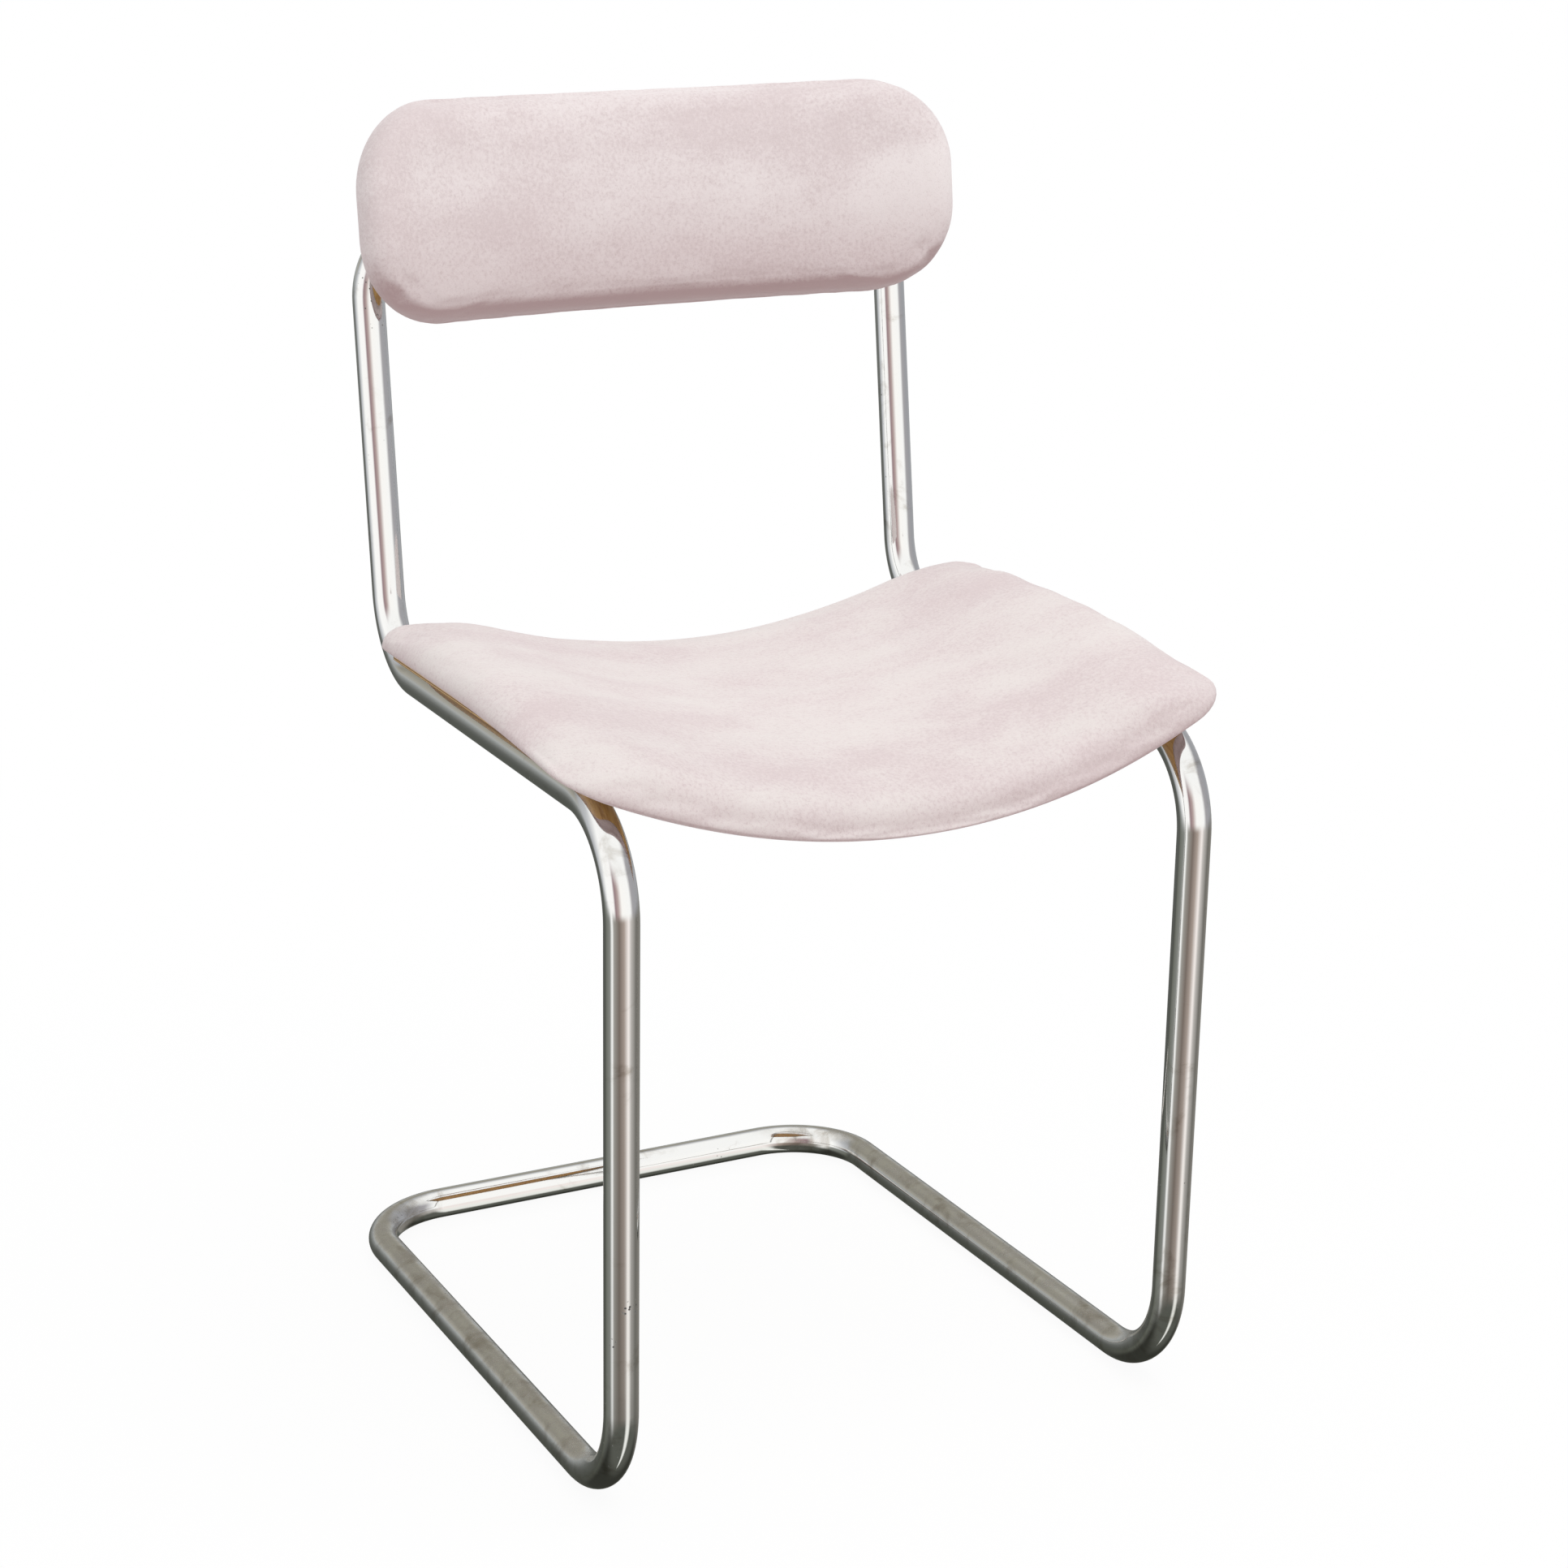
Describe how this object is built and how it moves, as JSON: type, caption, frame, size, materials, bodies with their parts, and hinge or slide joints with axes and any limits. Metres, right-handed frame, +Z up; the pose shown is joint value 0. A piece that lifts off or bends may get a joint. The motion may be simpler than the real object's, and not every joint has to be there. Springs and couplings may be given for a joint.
{
  "type": "cantilever chair",
  "caption": "Cantilever dining chair: one bent chromed steel tube without rear legs carries a hollow upholstered seat and a curved upholstered backrest with rounded ends.",
  "frame": {"origin": "middle of the bounding box in plan, on the floor", "axes": "+Z up; the sitter faces -Y; +X is on the sitter's left"},
  "size_m": [0.457, 0.5678, 0.8585],
  "materials": {
    "chrome": "polished, aged and slightly stained",
    "plated_steel": "zinc plated",
    "lacquered_plywood": "golden clear lacquer",
    "raw_plywood": "raw",
    "foam": "soft foam",
    "velvet": "pale pink velvet with a soft nap",
    "spacer_plastic": "matte"
  },
  "bodies": {
    "root": {"frame_tube": "chrome", "joint_spigot": "plated_steel", "joint_pins": "plated_steel", "seat_shell": "lacquered_plywood", "seat_board": "raw_plywood", "seat_foam": "foam", "seat_cover": "velvet", "seat_staples": "plated_steel", "seat_saddles": "spacer_plastic", "seat_screws": "plated_steel", "seat_tee_nuts": "plated_steel", "back_shell": "lacquered_plywood", "back_board": "raw_plywood", "back_foam": "foam", "back_cover": "velvet", "back_staples": "plated_steel", "back_saddles": "spacer_plastic", "back_washers": "plated_steel", "back_screws": "plated_steel", "back_tee_nuts": "plated_steel"}
  },
  "joints": []
}
